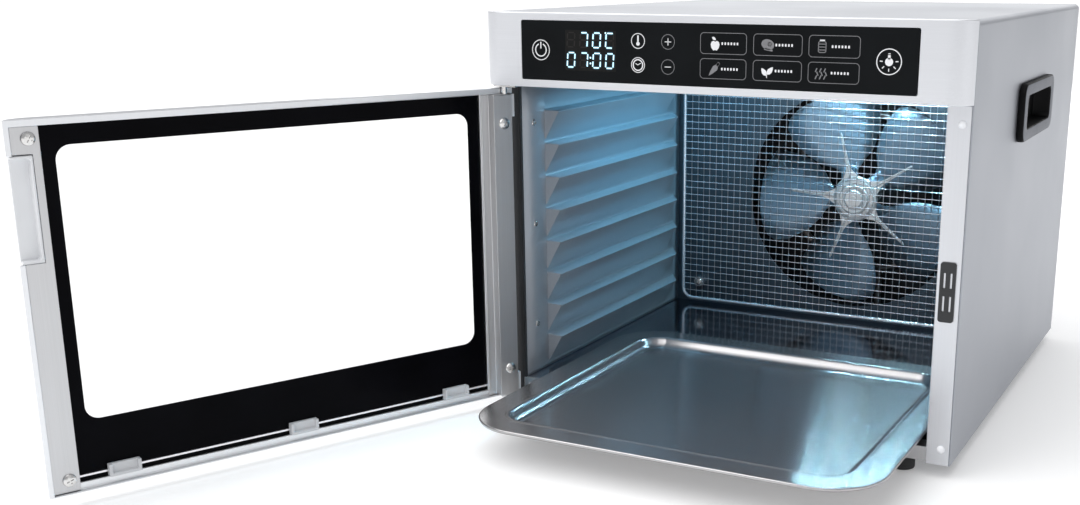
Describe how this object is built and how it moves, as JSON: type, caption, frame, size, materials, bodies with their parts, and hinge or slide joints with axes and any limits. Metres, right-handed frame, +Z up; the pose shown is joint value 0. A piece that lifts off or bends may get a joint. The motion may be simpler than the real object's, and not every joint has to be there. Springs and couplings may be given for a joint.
{
  "type": "food dehydrator",
  "caption": "Countertop food dehydrator: steel cabinet with ribbed cavity, rear fan behind a wire guard, side-hung glass door and a slide-out drip tray.",
  "frame": {"origin": "middle of the four feet, on the surface that they stand on", "axes": "+Z up, front towards -Y, +X to the right as seen from the front; door open and tray drawn out at rest"},
  "size_m": [0.4863, 0.6803, 0.292],
  "materials": {
    "shell_steel": "satin",
    "front_steel": "satin",
    "cavity_steel": "satin",
    "tray_steel": "satin",
    "bright_wire": "polished",
    "screw_steel": "polished",
    "fan_metal": "satin",
    "turned_metal": "polished",
    "door_strip": "satin",
    "clear_glass": "polished",
    "black_border": "gloss",
    "panel_glass": "gloss",
    "display": "gloss",
    "board": "satin",
    "black_plastic": "satin",
    "rubber": "matte",
    "white_plastic": "satin",
    "heater_sheath": "satin",
    "motor_paint": "satin",
    "catch_metal": "satin",
    "lamp": "gloss",
    "lens": "gloss",
    "glass_edge": "polished"
  },
  "bodies": {
    "cabinet": {"base_pan": "shell_steel", "catch_magnet": "catch_metal", "catch_plate": "catch_metal", "cavity_ceiling": "cavity_steel", "cavity_floor": "cavity_steel", "cavity_lamp": "lamp", "control_board": "board", "control_glass": "panel_glass", "display_module": "display", "door_bumpers": "rubber", "fan_housing": "cavity_steel", "feet": "rubber", "foot_screws": "screw_steel", "front_fascia": "front_steel", "front_sill": "front_steel", "guard_frame": "bright_wire", "guard_mesh": "bright_wire", "guard_screws": "screw_steel", "guard_spacers": "bright_wire", "heater_clips": "heater_sheath", "heater_ring": "heater_sheath", "hinge_pins": "screw_steel", "hinge_plates": "screw_steel", "lamp_lens": "lens", "left_carry_handle": "black_plastic", "left_liner": "cavity_steel", "left_post": "front_steel", "liner_screws": "screw_steel", "mains_inlet": "black_plastic", "motor_bearings": "turned_metal", "motor_body": "motor_paint", "motor_screws": "screw_steel", "outer_shell": "shell_steel", "post_gasket": "black_plastic", "power_board": "board", "rear_baffle": "cavity_steel", "rear_panel": "shell_steel", "rear_screws": "screw_steel", "right_carry_handle": "black_plastic", "right_liner": "cavity_steel", "right_post": "front_steel", "temperature_probe": "heater_sheath", "thermal_cutout": "black_plastic"},
    "door": {"door_frame": "front_steel", "door_glass": "clear_glass", "glass_mask": "black_border", "latch_strip": "door_strip", "hinge_strip": "door_strip", "hinge_blocks": "white_plastic", "door_screws": "screw_steel", "finger_pull": "white_plastic", "glass_clips": "white_plastic", "glass_wire": "glass_edge"},
    "tray": {"drip_tray": "tray_steel"},
    "fan": {"fan_spider": "fan_metal", "fan_blades": "fan_metal", "hub_cap": "turned_metal", "motor_shaft": "turned_metal", "motor_rotor": "turned_metal"}
  },
  "joints": [
    {"name": "door_swing", "type": "hinge", "parent": "cabinet", "child": "door", "pos_m": [-0.1614, -0.1829, 0.12], "axis": [0, 0, 1], "range_deg": [-5, 115]},
    {"name": "tray_slide", "type": "slide", "parent": "cabinet", "child": "tray", "axis": [0, 1, 0], "range_m": [-0.006, 0.1245]},
    {"name": "fan_spin", "type": "hinge", "parent": "cabinet", "child": "fan", "pos_m": [0.011, 0.115, 0.127], "axis": [0, 1, 0], "continuous": true}
  ],
  "couplings": [
    {"joint": "tray_slide", "follows": "door_swing", "m_per_rad": 0.06178}
  ]
}
